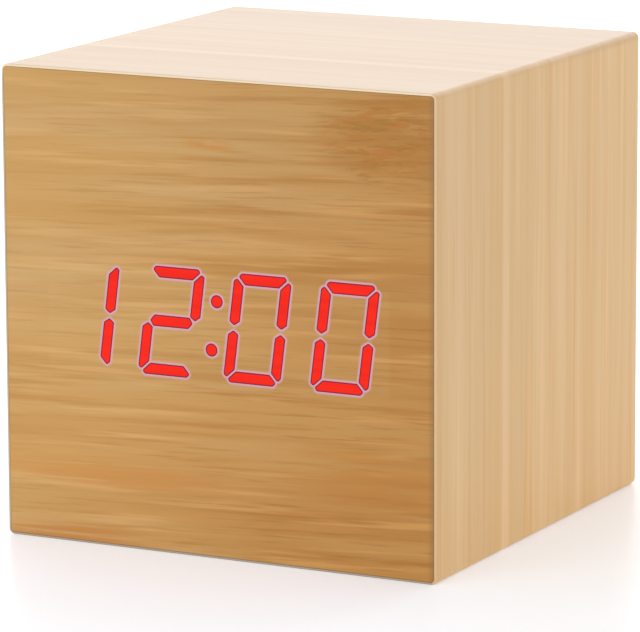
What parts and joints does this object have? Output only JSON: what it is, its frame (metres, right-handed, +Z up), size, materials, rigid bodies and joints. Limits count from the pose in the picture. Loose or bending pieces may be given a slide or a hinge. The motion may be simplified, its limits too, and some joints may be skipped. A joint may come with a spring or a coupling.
{
  "type": "desk clock",
  "caption": "Cube desk clock: fibreboard box in light wood-grain film, red segment digits shining through the front, black back cover with buttons, supply socket and hooked battery door",
  "frame": {"origin": "middle of the bottom face, on the surface that the clock stands on", "axes": "+X to the right as the digits are read, -Y out of the front face towards the reader, +Z up"},
  "size_m": [0.062, 0.062, 0.062],
  "materials": {
    "wood_film": "satin printed wood-grain film",
    "lit_red": "film lit from behind in red",
    "fibreboard": "raw medium-density fibreboard",
    "glue_block_wood": "sawn softwood",
    "diffuser": "thin frosted sheet",
    "reflector_plastic": "moulded, matt",
    "light_chip_resin": "clear resin over a chip",
    "circuit_laminate": "solder mask",
    "spacer_nylon": "natural nylon",
    "screw_steel": "zinc plated",
    "cover_plastic": "black, fine spark texture",
    "button_plastic": "black, smooth",
    "switch_plastic": "moulded",
    "cell_jacket": "shrunk plain sleeve, bare steel ends",
    "contact_nickel": "nickel-plated spring steel",
    "socket_plastic": "black",
    "socket_pin_metal": "plated pin",
    "microphone_can": "drawn can",
    "chip_epoxy": "moulded epoxy",
    "crystal_can": "drawn can",
    "capacitor_sleeve": "shrunk sleeve",
    "buzzer_plastic": "moulded",
    "thermistor_bead": "dipped bead",
    "ribbon_insulation": "grey vinyl",
    "header_plastic": "white nylon",
    "wire_red": "vinyl",
    "wire_black": "vinyl"
  },
  "bodies": {
    "clock": {"front_film": "wood_film", "wrap_film": "wood_film", "digit_1": "lit_red", "digit_2": "lit_red", "colon": "lit_red", "digit_3": "lit_red", "digit_4": "lit_red", "bottom_board": "fibreboard", "right_board": "fibreboard", "top_board": "fibreboard", "left_board": "fibreboard", "front_board": "fibreboard", "corner_blocks": "glue_block_wood", "diffuser_sheet": "diffuser", "display_reflector": "reflector_plastic", "light_chips": "light_chip_resin", "display_board": "circuit_laminate", "control_board": "circuit_laminate", "display_spacers": "spacer_nylon", "display_screws": "screw_steel", "back_cover_screws": "screw_steel", "control_board_screws": "screw_steel", "back_cover": "cover_plastic", "button_switches": "switch_plastic", "battery_bottom": "cell_jacket", "battery_middle": "cell_jacket", "battery_top": "cell_jacket", "contact_positive": "contact_nickel", "contact_bridge_right": "contact_nickel", "contact_bridge_left": "contact_nickel", "contact_negative": "contact_nickel", "dc_socket": "socket_plastic", "dc_socket_pin": "socket_pin_metal", "microphone": "microphone_can", "microcontroller": "chip_epoxy", "crystal": "crystal_can", "capacitor": "capacitor_sleeve", "buzzer": "buzzer_plastic", "thermistor": "thermistor_bead", "ribbon_cable": "ribbon_insulation", "ribbon_headers": "header_plastic", "lead_red": "wire_red", "lead_black": "wire_black"},
    "door": {"battery_door": "cover_plastic", "door_latch": "cover_plastic"},
    "set_button": {"button_set": "button_plastic", "plunger_set": "switch_plastic"},
    "up_button": {"button_up": "button_plastic", "plunger_up": "switch_plastic"},
    "down_button": {"button_down": "button_plastic", "plunger_down": "switch_plastic"}
  },
  "joints": [
    {"name": "door_hinge", "type": "hinge", "parent": "clock", "child": "door", "pos_m": [0, 0.0293, 0.0085], "axis": [-1, 0, 0], "range_deg": [0, 60], "deforming": ["door_latch"]},
    {"name": "set_press", "type": "slide", "parent": "clock", "child": "set_button", "axis": [0, -1, 0], "range_m": [0, 0.0003], "stiffness_N_per_m": 1800, "springref_m": -0.0005},
    {"name": "up_press", "type": "slide", "parent": "clock", "child": "up_button", "axis": [0, -1, 0], "range_m": [0, 0.0003], "stiffness_N_per_m": 1800, "springref_m": -0.0005},
    {"name": "down_press", "type": "slide", "parent": "clock", "child": "down_button", "axis": [0, -1, 0], "range_m": [0, 0.0003], "stiffness_N_per_m": 1800, "springref_m": -0.0005}
  ]
}
